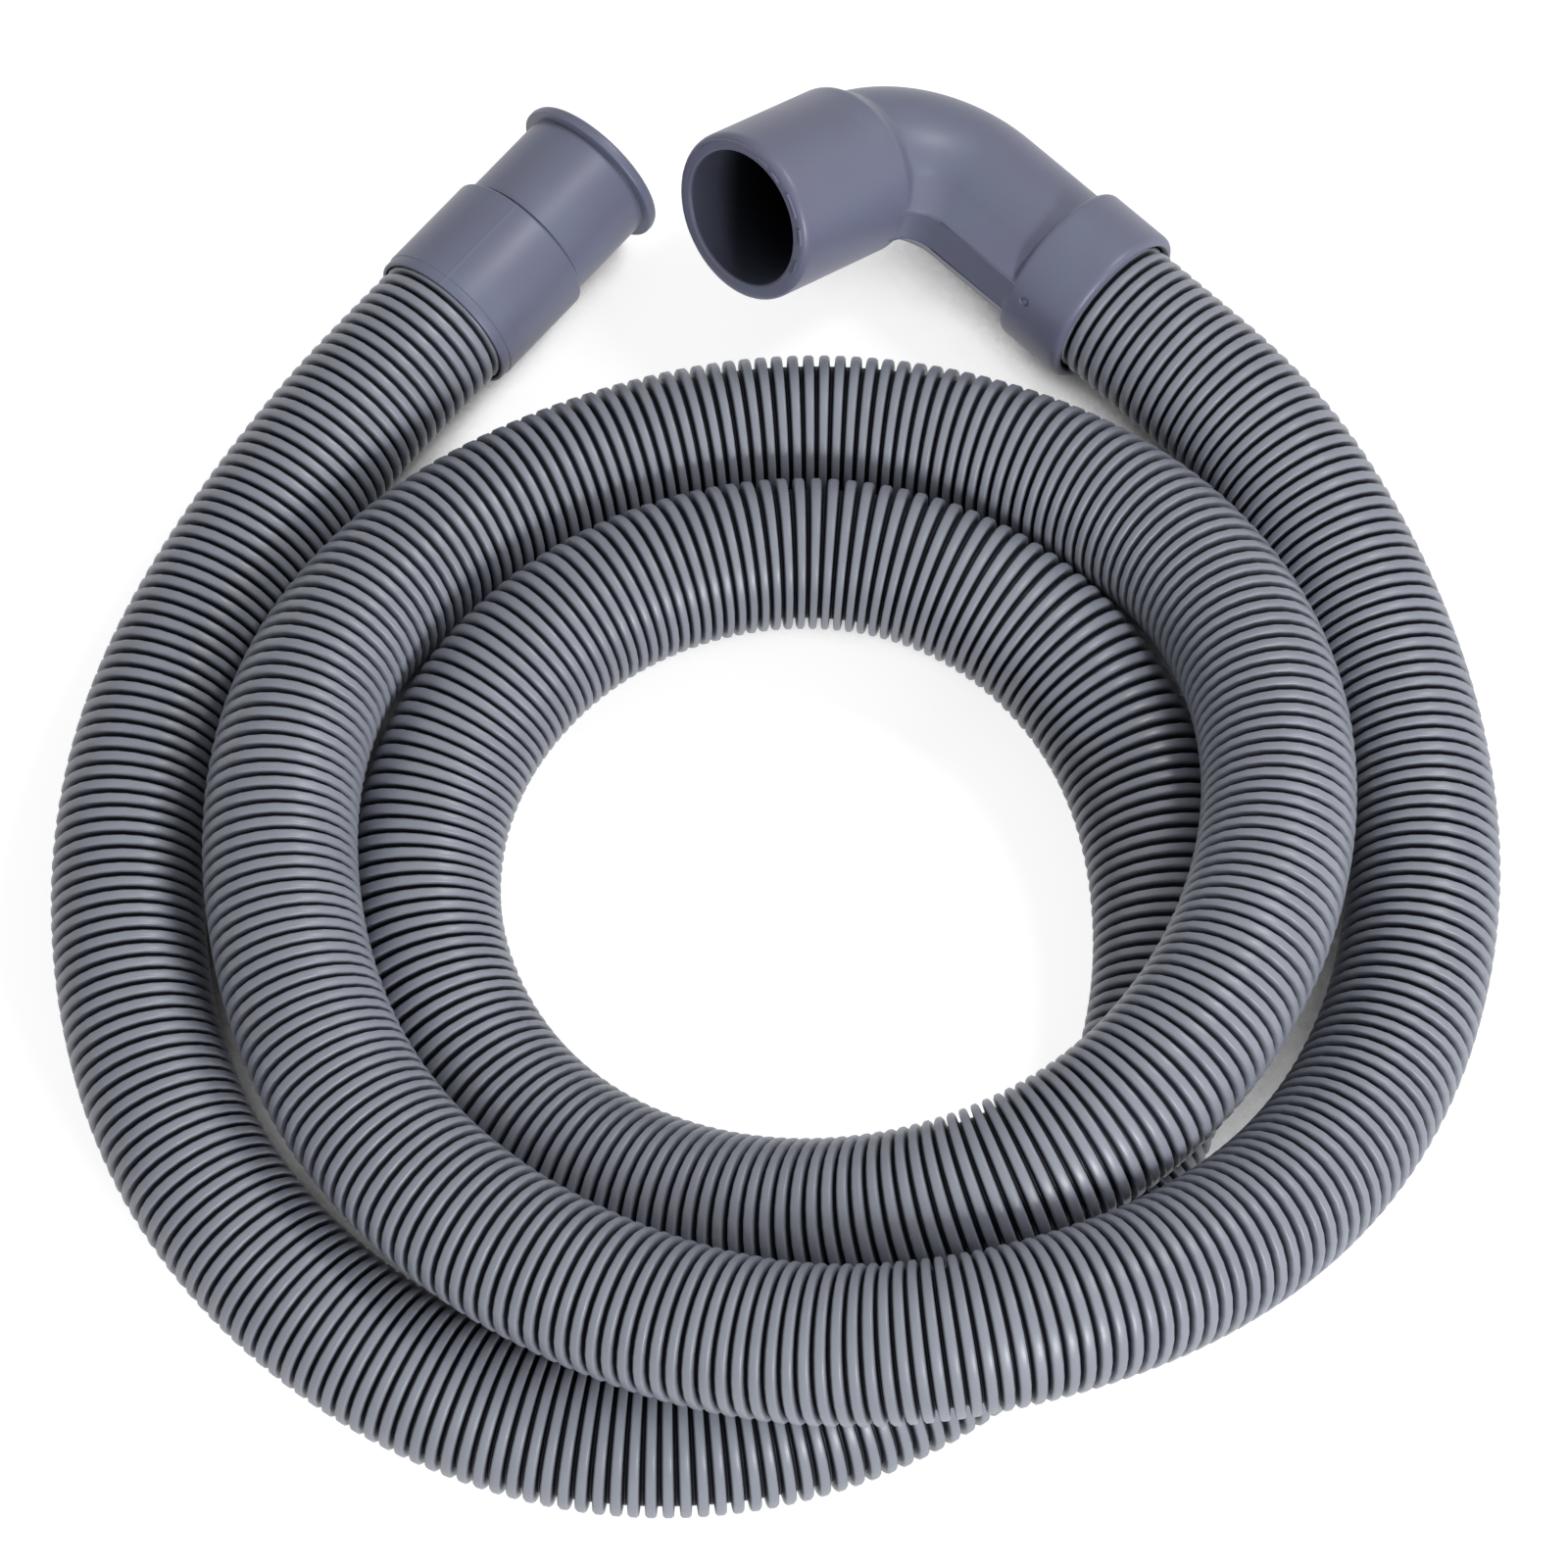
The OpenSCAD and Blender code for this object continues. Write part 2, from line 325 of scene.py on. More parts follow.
@dataclass(frozen=True)
class InjectionMouldedPolypropylene:
    """Injection-moulded polypropylene: a satin blue-grey, faintly clouded where it flowed."""

    colour: str = "#6B6C83"
    cloud: str = "#6B7186"
    cloud_mm: float = 16.0
    cloud_detail: float = 4.0
    cloud_stir: float = 0.6
    cloud_noise: Span = (0.35, 0.7)
    # Deep in a bore, and in the cuff's fine grooves, shade is painted nearly black, and the shine
    # is turned down there too
    depth: str = "#0A0B0E"
    mirror: Span = (0.5, 0.08)
    roughness: Span = (0.33, 0.47)
    grain_mm: float = 0.7
    grain_detail: float = 3.0
    bump: float = 0.15
    bump_mm: float = 0.04
    refraction: float = 1.49

    def material(self) -> bpy.types.Material:
        """Make the fittings' finish, with shade painted dark down their bores and into the cuff's
        fine grooves.

        Returns:
            The material.
        """
        made, tree, shader = new_material("injection_moulded_polypropylene")
        place = {"Vector": add_node(tree, "ShaderNodeTexCoord").outputs["Object"]}
        cloud = add_node(
            tree,
            "ShaderNodeTexNoise",
            {
                "Scale": per_metre(self.cloud_mm),
                "Detail": self.cloud_detail,
                "Distortion": self.cloud_stir,
            },
            place,
        )
        share = add_node(
            tree,
            "ShaderNodeMapRange",
            limits("From", self.cloud_noise),
            {"Value": cloud.outputs["Fac"]},
        )
        colour = add_node(
            tree,
            "ShaderNodeMix",
            {"data_type": "RGBA", MIX_FIRST: linear(self.colour), MIX_SECOND: linear(self.cloud)},
            {MIX_SHARE: share.outputs["Result"]},
        )
        # Painted shade: as the stored shade level rises, the colour goes to near black and the
        # shine drops
        bore = add_node(tree, "ShaderNodeAttribute", {"attribute_name": "painted_shade"})
        dark = add_node(
            tree,
            "ShaderNodeMapRange",
            {"interpolation_type": "SMOOTHSTEP"},
            {"Value": bore.outputs["Fac"]},
        )
        deep = add_node(
            tree,
            "ShaderNodeMix",
            {"data_type": "RGBA", MIX_SECOND: linear(self.depth)},
            {MIX_SHARE: dark.outputs["Result"], MIX_FIRST: colour.outputs[MIX_RESULT]},
        )
        mirror = add_node(
            tree,
            "ShaderNodeMapRange",
            limits("To", self.mirror),
            {"Value": dark.outputs["Result"]},
        )
        grain = add_node(
            tree,
            "ShaderNodeTexNoise",
            {"Scale": per_metre(self.grain_mm), "Detail": self.grain_detail},
            place,
        )
        gloss = add_node(
            tree,
            "ShaderNodeMapRange",
            limits("To", self.roughness),
            {"Value": cloud.outputs["Fac"]},
        )
        bump = add_node(
            tree,
            "ShaderNodeBump",
            {"Strength": self.bump, "Distance": self.bump_mm * MM},
            {"Height": grain.outputs["Fac"]},
        )
        tree.links.new(deep.outputs[MIX_RESULT], shader.inputs["Base Color"])
        tree.links.new(gloss.outputs["Result"], shader.inputs["Roughness"])
        tree.links.new(mirror.outputs["Result"], shader.inputs["Specular IOR Level"])
        tree.links.new(bump.outputs["Normal"], shader.inputs["Normal"])
        shader.inputs["IOR"].default_value = self.refraction
        return made


# ---------------------------------------------------------------- camera, light and floor


@dataclass(frozen=True)
class Lamp:
    """A square lamp that stands out from the part's middle and faces it."""

    name: str
    azimuth: float
    elevation: float
    distance: float
    size: float
    power: float

    def build(self) -> None:
        """Hang the lamp. Its azimuth counts from +X towards +Y, its lengths are in metres."""
        data = bpy.data.lights.new(self.name, "AREA")
        data.shape = "SQUARE"
        data.size = self.size
        data.energy = self.power
        lamp = bpy.data.objects.new(self.name, data)
        turn, tilt = math.radians(self.azimuth), math.radians(self.elevation)
        flat = Vector((math.cos(turn), math.sin(turn), 0.0)) * math.cos(tilt)
        lamp.location = (flat + UP * math.sin(tilt)) * self.distance
        lamp.rotation_euler = (-lamp.location).to_track_quat("-Z", "Y").to_euler()
        bpy.context.scene.collection.objects.link(lamp)


@dataclass
class Studio:
    """The camera, the lamps, the even sky and the white floor."""

    # What the camera looks at, how far off it stands, and how steeply it looks down
    target: tuple[float, float, float] = (2.0, -1.5, 17.0)
    distance: float = 1500.0
    elevation: float = 65.5
    lens: float = 155.25
    sensor: float = 36.0
    lamps: tuple[Lamp, ...] = (
        Lamp("key", azimuth=300.0, elevation=27.0, distance=1.8, size=0.4, power=20.0),
        Lamp("side", azimuth=30.0, elevation=55.0, distance=1.8, size=0.3, power=9.0),
    )
    sky: float = 0.42
    floor_size: float = 6000.0
    floor_drop: float = 0.2
    floor_colour: str = "#A6A6A8"
    floor_roughness: float = 0.9
    # Open floor reads as white paper; only where the hose closes it in does it go dark
    floor_lift: float = 0.84
    openness: Span = (0.15, 0.25)
    shade_reach: float = 60.0
    shade_samples: int = 24

    def build(self) -> None:
        """Make the camera, the lamps, the sky and the floor."""
        self.add_camera()
        for lamp in self.lamps:
            lamp.build()
        self.add_sky()
        self.add_floor()
        bpy.context.scene.view_settings.view_transform = "Standard"

    def add_camera(self) -> None:
        """Put the camera in front of the part, looking down at it."""
        data = bpy.data.cameras.new("camera")
        data.lens = self.lens
        data.sensor_width = self.sensor
        camera = bpy.data.objects.new("camera", data)
        tilt = math.radians(self.elevation)
        away = Vector((0.0, -math.cos(tilt), math.sin(tilt))) * self.distance
        camera.location = (Vector(self.target) + away) * MM
        camera.rotation_euler = (math.pi / 2 - tilt, 0.0, 0.0)
        bpy.context.scene.collection.objects.link(camera)
        bpy.context.scene.camera = camera

    @staticmethod
    def seen(tree: bpy.types.NodeTree) -> bpy.types.NodeSocket:
        """What is 1 for the rays that look at a surface and 0 for those that light others."""
        path = add_node(tree, "ShaderNodeLightPath")
        seen = path.outputs["Is Camera Ray"]
        for other in ("Is Glossy Ray", "Is Transmission Ray"):
            links = {0: seen, 1: path.outputs[other]}
            either = add_node(tree, "ShaderNodeMath", {"operation": "MAXIMUM"}, links)
            seen = either.outputs["Value"]
        return seen

    def add_sky(self) -> None:
        """Give an even sky that the camera, gloss and glass see as white."""
        world = bpy.data.worlds.new("sky")
        bpy.context.scene.world = world
        world.use_nodes = True
        tree = world.node_tree
        back = tree.nodes["Background"]
        back.inputs["Color"].default_value = (1.0, 1.0, 1.0, 1.0)
        strength = add_node(
            tree,
            "ShaderNodeMapRange",
            limits("To", (self.sky, 1.0)),
            {"Value": self.seen(tree)},
        )
        tree.links.new(strength.outputs["Result"], back.inputs["Strength"])

    def add_floor(self) -> None:
        """Lay a white floor just under the part."""
        mesh = bmesh.new()
        bmesh.ops.create_grid(mesh, x_segments=1, y_segments=1, size=self.floor_size / 2)
        bmesh.ops.translate(mesh, vec=(0.0, 0.0, -self.floor_drop), verts=mesh.verts)
        floor = new_object("floor", mesh)
        made, tree, shader = new_material("white_paper")
        shader.inputs["Base Color"].default_value = linear(self.floor_colour)
        shader.inputs["Roughness"].default_value = self.floor_roughness
        shader.inputs["Emission Color"].default_value = (1.0, 1.0, 1.0, 1.0)
        air = add_node(
            tree,
            "ShaderNodeAmbientOcclusion",
            {"samples": self.shade_samples, "Distance": self.shade_reach * MM},
        )
        lift = add_node(
            tree,
            "ShaderNodeMapRange",
            limits("From", self.openness) | limits("To", (0.0, self.floor_lift)),
            {"Value": air.outputs["AO"]},
        )
        shown = add_node(
            tree,
            "ShaderNodeMath",
            {"operation": "MULTIPLY"},
            {0: self.seen(tree), 1: lift.outputs["Result"]},
        )
        tree.links.new(shown.outputs["Value"], shader.inputs["Emission Strength"])
        floor.data.materials.append(made)


# ---------------------------------------------------------------- the route of the hose


@dataclass(frozen=True)
class HoseEnd:
    """Where one fitting stands and how far the hose goes into it."""

    seat: tuple[float, float, float]
    heading: float
    grip: float

    def direction(self) -> Vector:
        """The way from the hose into the fitting."""
        a = math.radians(self.heading)
        return Vector((math.cos(a), math.sin(a), 0.0))

    def point(self, steps: float, step: float) -> Vector:
        """A point of the hose's straight end, this many steps back from the tip."""
        return Vector(self.seat) - self.direction() * (step * steps - self.grip)


ELBOW_END = HoseEnd(seat=(77.5, 116.5, 20.0), heading=136.0, grip=16.0)
CUFF_END = HoseEnd(seat=(-76.0, 113.5, 19.0), heading=50.0, grip=22.0)


@dataclass
class Route:
    """The line that the middle of the hose follows, from the elbow to the cuff."""

    middle: tuple[float, float] = (2.0, -33.5)
    first_angle: float = 25.0
    step_angle: float = 22.5
    end_step: float = 34.0
    # Distance from the coil's middle and height, one pair for each station
    stations: tuple[tuple[float, float], ...] = (
        (151, 17), (144, 22), (138, 27), (132, 48), (124, 61), (116, 54), (108, 46), (107, 40),
        (109, 37), (111, 37), (117, 35), (120, 25), (120, 18), (123, 17), (126, 17), (126, 24),
        (119, 38), (109, 46), (101, 52), (95, 53), (88, 49), (81, 39), (76, 28), (75, 20),
        (77, 17), (81, 18), (83, 22), (83, 26), (85, 25), (88, 23), (90, 23), (90, 20),
        (88, 17), (86, 17), (89, 17), (96, 17), (107, 17), (120, 17), (131, 17), (138, 18),
        (145, 19), (147, 17), (152, 17),
    )
    marks_per_span: int = 24
    points: list[Vector] = field(default_factory=list)
    marks: list[tuple[float, Vector, Vector]] = field(default_factory=list)

    def __post_init__(self) -> None:
        """Work out the route's points and a table of places along it."""
        self.points = [ELBOW_END.point(k, self.end_step) for k in (-1, 0, 1, 2)]
        for k, (radius, height) in enumerate(self.stations):
            a = math.radians(self.first_angle - self.step_angle * k)
            x = self.middle[0] + radius * math.cos(a)
            y = self.middle[1] + radius * math.sin(a)
            self.points.append(Vector((x, y, height)))
        self.points += [CUFF_END.point(k, self.end_step) for k in (2, 1, 0, -1)]
        spans = len(self.points) - 3
        length = 0.0
        last = None
        for k in range(spans * self.marks_per_span + 1):
            i = min(k // self.marks_per_span, spans - 1)
            place, slope = self.span(i, k / self.marks_per_span - i)
            length += (place - last).length if last is not None else 0.0
            self.marks.append((length, place, slope))
            last = place

    def span(self, i: int, u: float) -> tuple[Vector, Vector]:
        """A place on one span of the smooth curve.

        Args:
            i: Number of the span.
            u: Share of the span, from 0 to 1.

        Returns:
            The point and the curve's direction there.
        """
        p0, p1, p2, p3 = self.points[i : i + 4]
        point = (
            (1 - u) ** 3 * p0
            + (3 * u**3 - 6 * u**2 + 4) * p1
            + (1 + 3 * u + 3 * u**2 - 3 * u**3) * p2
            + u**3 * p3
        ) / 6
        slope = (
            -((1 - u) ** 2) * p0
            + (3 * u**2 - 4 * u) * p1
            + (1 + 2 * u - 3 * u**2) * p2
            + u**2 * p3
        ) / 2
        return point, slope.normalized()

    @property
    def length(self) -> float:
        """Length of the hose along its middle."""
        return self.marks[-1][0]

    def at(self, lengths: list[float]) -> list[tuple[Vector, Vector]]:
        """Places on the route.

        Args:
            lengths: Distances along the hose from its elbow end, in rising order.

        Returns:
            The point and the direction at each distance.
        """
        found = []
        k = 0
        for s in lengths:
            while k < len(self.marks) - 2 and self.marks[k + 1][0] < s:
                k += 1
            before, after = self.marks[k], self.marks[k + 1]
            share = (s - before[0]) / (after[0] - before[0])
            place = before[1].lerp(after[1], share)
            found.append((place, before[2].lerp(after[2], share).normalized()))
        return found


# ---------------------------------------------------------------- the hose


@dataclass(frozen=True)
class Ring:
    """One ring of the hose's skin, and how far its surface leans along the hose in degrees."""

    length: float
    radius: float
    height: float = 0.0
    lean: float = 0.0


@dataclass
class RibbedHose:
    """The corrugated hose: one tube whose wall runs in and out to make ring ribs."""

    route: Route
    outer_d: float = 34.0
    bore_d: float = 27.0
    groove_depth: float = 2.5
    rib_width: float = 2.35
    flank_run: float = 0.15
    corner_r: float = 0.45
    # How far the surface leans along the hose, in degrees, up a flank and on the crest
    foot_lean: float = 78.0
    shoulder_lean: float = 70.0
    crest_lean: float = 8.0
    # How far apart the ribs stand, at even steps along the hose, as it has been stretched
    pitches: tuple[float, ...] = (
        3.23, 3.32, 3.78, 3.00, 3.46, 3.08, 3.55, 3.27, 3.56, 3.24,
        3.12, 3.52, 3.07, 3.36, 3.49, 3.35, 3.24, 3.22, 3.34, 3.28,
    )
    first_rib: float = 0.4
    first_pitch: float = 45.0
    pitch_step: float = 100.0
    sides: int = 26
    bore_step: float = 20.0
    path_every: int = 3
    name: str = "hose_tube"

    def pitch_at(self, s: float) -> float:
        """Distance from rib to rib at this length along the hose."""
        place = (s - self.first_pitch) / self.pitch_step
        k = min(max(int(place), 0), len(self.pitches) - 2)
        share = min(max(place - k, 0.0), 1.0)
        share = share * share * (3 - 2 * share)
        return self.pitches[k] + share * (self.pitches[k + 1] - self.pitches[k])

    def rib(self, start: float) -> list[Ring]:
        """The rings of one rib, from the foot of its near flank to the foot of its far one."""
        crest = self.outer_d / 2
        corner = 1 - self.corner_r / self.groove_depth
        flank = [
            (0.0, crest - self.groove_depth, 0.0, self.foot_lean),
            (self.flank_run, crest - self.corner_r, corner, self.shoulder_lean),
            (self.flank_run + self.corner_r, crest, 1.0, self.crest_lean),
        ]
        end = start + self.rib_width
        near = [Ring(start + x, r, height, -lean) for x, r, height, lean in flank]
        far = [Ring(end - x, r, height, lean) for x, r, height, lean in reversed(flank)]
        return near + far

    def skin(self) -> list[Ring]:
        """The rings of the outside, from the elbow's end to the cuff's."""
        foot = self.outer_d / 2 - self.groove_depth
        rings = [Ring(0.0, foot)]
        start = self.first_rib
        while start + self.rib_width < self.route.length:
            rings += self.rib(start)
            start += self.pitch_at(start)
        rings.append(Ring(self.route.length, foot))
        return rings

    def laid(self, rings: list[Ring]) -> tuple[list[Vector], list[Vector]]:
        """Lay rings square to the route.

        Args:
            rings: The rings, in the order in which they come along the hose.

        Returns:
            The rings' points in metres, and the skin's outward direction at each.
        """
        turns = [math.tau * (k + 0.5) / self.sides for k in range(self.sides)]
        points, normals = [], []
        for (middle, slope), ring in zip(self.route.at([r.length for r in rings]), rings):
            side = slope.cross(UP).normalized()
            top = side.cross(slope)
            lean = math.radians(ring.lean)
            for a in turns:
                out = side * math.cos(a) + top * math.sin(a)
                points.append((middle + out * ring.radius) * MM)
                normals.append(out * math.cos(lean) + slope * math.sin(lean))
        return points, normals

    def band(self, a: int, b: int) -> list[tuple[int, int, int, int]]:
        """The faces between two rings of points, by the number of each ring's first point."""
        n = self.sides
        return [(a + k, a + (k + 1) % n, b + (k + 1) % n, b + k) for k in range(n)]

    def build(self) -> bpy.types.Object:
        """Make the hose's mesh.

        Returns:
            The object, with a rib_height attribute that is 0 in a groove and 1 on a crest.
        """
        n = self.sides
        skin = self.skin()
        bores = round(self.route.length / self.bore_step)
        bore = [Ring(self.route.length * k / bores, self.bore_d / 2) for k in range(bores + 1)]
        points, normals = self.laid(skin)
        bore_points, outward = self.laid(bore)
        inside = len(points)
        faces = []
        for k in range(len(skin) - 1):
            faces += self.band((k + 1) * n, k * n)
        for k in range(bores):
            faces += self.band(inside + k * n, inside + (k + 1) * n)
        faces += self.band(0, inside)
        faces += self.band(inside + bores * n, inside - n)
        data = bpy.data.meshes.new(self.name)
        data.from_pydata(points + bore_points, [], faces)
        data.shade_smooth()
        # The leaning normals round the ribs' corners without more rings
        data.normals_split_custom_set_from_vertices(normals + [-out for out in outward])
        levels = [ring.height for ring in skin + bore for _ in range(n)]
        data.attributes.new("rib_height", "FLOAT", "POINT").data.foreach_set("value", levels)
        hose = bpy.data.objects.new(self.name, data)
        bpy.context.scene.collection.objects.link(hose)
        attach(hose, "hose")
        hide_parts("ribbed_hose")
        return hose

    def dress(self, hose: bpy.types.Object, finish: BlowMouldedPolyethylene) -> None:
        """Give the hose its finish."""
        hose.data.materials.append(finish.material())


# ---------------------------------------------------------------- the cuff


@dataclass
class StraightCuff:
    """The straight end piece: a sleeve for the hose, a short spigot and a thin flange."""

    mouth_d: float = 34.6
    sleeve_length: float = 27.0
    sleeve_wall: float = 1.2
    spigot_length: float = 26.5
    spigot_bore: float = 29.0
    spigot_wall: float = 2.35
    flange_lip: float = 2.15
    flange_t: float = 2.8
    lip_run: float = 2.5
    lip_step: float = 0.22
    lip_edge: float = 0.3
    # From the end of the lip, where the ramp up to the sleeve starts and ends
    lip_ramp: Span = (-0.15, 0.1)
    step_r: float = 0.6
    step_groove: float = 0.4
    # From the sleeve's end, where the groove's floor ends and where it is up at the spigot
    groove_ends: Span = (0.55, 0.9)
    # Share of shade painted into the fine grooves at the step and at the flange's foot
    groove_shade: float = 0.4
    # The fine round groove at the flange's foot, and the flat stretch before it
    foot_r: float = 0.3
    foot_lead: float = 0.7
    flange_edge: float = 0.4
    rim_r: float = 0.95
    rim_step: float = 0.2
    # From the rim's rounding, where the step down from the flange starts and ends
    rim_ramp: Span = (0.35, 0.25)
    mouth_round: float = 0.6
    stop_gap: float = 0.5
    seam_width: float = 0.6
    seam_height: float = 0.05
    # How far in from the mouth the painted bore shade runs to full
    dark_run: float = 6.0
    # How far inside an edge or off a wall a point has to lie to count as on one side of it
    margin: float = 0.1
    wall_margin: float = 0.8
    on_plane: float = 0.01
    sides: int = 128
    name: str = "cuff_body"

    def place(self) -> Matrix:
        """Where the cuff stands, in millimetres."""
        turn = Matrix.Rotation(math.radians(CUFF_END.heading), 4, "Z")
        return Matrix.Translation(CUFF_END.seat) @ turn

    def outline(self) -> Outline:
        """The cuff's section, from the hose's side along the outside to the mouth and back."""
        length = self.sleeve_length + self.spigot_length
        sleeve_r = self.mouth_d / 2 + self.sleeve_wall
        spigot_r = self.spigot_bore / 2 + self.spigot_wall
        flange_r = spigot_r + self.flange_lip
        flange_x = length - self.flange_t
        lip_r = sleeve_r - self.lip_step
        sleeve_x, step_r, rim_r = self.sleeve_length, self.step_r, self.rim_r
        edge, foot, lip, round_r = self.lip_edge, self.foot_r, self.flange_edge, self.mouth_round
        rim_top = flange_r - self.rim_step
        stop = CUFF_END.grip + self.stop_gap
        bore_r = self.spigot_bore / 2
        return [
            (0.0, self.mouth_d / 2),
            *arc(edge, lip_r - edge, 180, 100, edge, steps=3),
            (self.lip_run + self.lip_ramp[0], lip_r),
            (self.lip_run + self.lip_ramp[1], sleeve_r),
            *arc(sleeve_x - step_r, sleeve_r - step_r, 90, 0, step_r, steps=5),
            (sleeve_x, spigot_r - self.step_groove),
            (sleeve_x + self.groove_ends[0], spigot_r - self.step_groove),
            (sleeve_x + self.groove_ends[1], spigot_r),
            (flange_x - self.foot_lead, spigot_r),
            *arc(flange_x - foot, spigot_r, 180, 360, foot),
            *arc(flange_x + lip, flange_r - lip, 180, 90, lip, steps=3),
            (length - rim_r - self.rim_ramp[0], flange_r),
            (length - rim_r - self.rim_ramp[1], rim_top),
            *arc(length - rim_r, rim_top - rim_r, 90, 0, rim_r, steps=5),
            *arc(length - round_r, bore_r + round_r, 0, -90, round_r, steps=3),
            (stop, bore_r),
            (stop, self.mouth_d / 2),
        ]

    def raise_seam(self, mesh: bmesh.types.BMesh) -> None:
        """Raise the fine seam that the mould's halves left along the sleeve, above and below."""
        for y in (-self.seam_width / 2, 0.0, self.seam_width / 2):
            everything = [*mesh.verts, *mesh.edges, *mesh.faces]
            bmesh.ops.bisect_plane(mesh, geom=everything, plane_co=(0, y, 0), plane_no=(0, 1, 0))
        for vertex in mesh.verts:
            x, y, z = vertex.co
            outside = abs(z) > self.mouth_d / 2 + self.margin
            on_sleeve = x < self.sleeve_length - self.margin
            if abs(y) < self.on_plane and outside and on_sleeve:
                vertex.co.z += math.copysign(self.seam_height, z)

    def depth(self, point: Vector) -> float:
        """Shade painted at a point: a set share past the sleeve within the wall's radii, as in the
        fine grooves, else from 0 outside and at the open mouth to 1 deep in the bore.
        """
        radius = math.hypot(point.y, point.z)
        spigot_r = self.spigot_bore / 2 + self.spigot_wall
        beyond_sleeve = point.x > self.sleeve_length - self.margin
        in_wall = self.spigot_bore / 2 + self.wall_margin < radius < spigot_r - self.margin
        if beyond_sleeve and in_wall:
            return self.groove_shade
        if radius > (self.spigot_bore if beyond_sleeve else self.mouth_d) / 2 + self.margin:
            return 0.0
        return min((self.sleeve_length + self.spigot_length - point.x) / self.dark_run, 1.0)

    def build(self) -> bpy.types.Object:
        """Make the cuff.

        Returns:
            The object.
        """
        mesh = bmesh.new()
        lathe(mesh, self.outline(), self.sides, Matrix.Identity(4))
        self.raise_seam(mesh)
        bmesh.ops.transform(mesh, matrix=self.place(), verts=mesh.verts)
        cuff = new_object(self.name, mesh)
        # Store how much shade is painted at each vertex, in the grooves and down the bore
        mark(cuff, "painted_shade", self.place(), self.depth)
        sharpen(cuff)
        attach(cuff, "cuff")
        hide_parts("straight_cuff")
        return cuff

    def dress(self, cuff: bpy.types.Object, finish: bpy.types.Material) -> None:
        """Give the cuff its finish."""
        cuff.data.materials.append(finish)


# ---------------------------------------------------------------- the elbow


class Cut(Enum):
    """What is cut out of the elbow's outside."""

    HOSE = "hose_bore"
    WAY = "waterway"
    SOCKET = "socket_bore"
    GATE = "gate_scar"


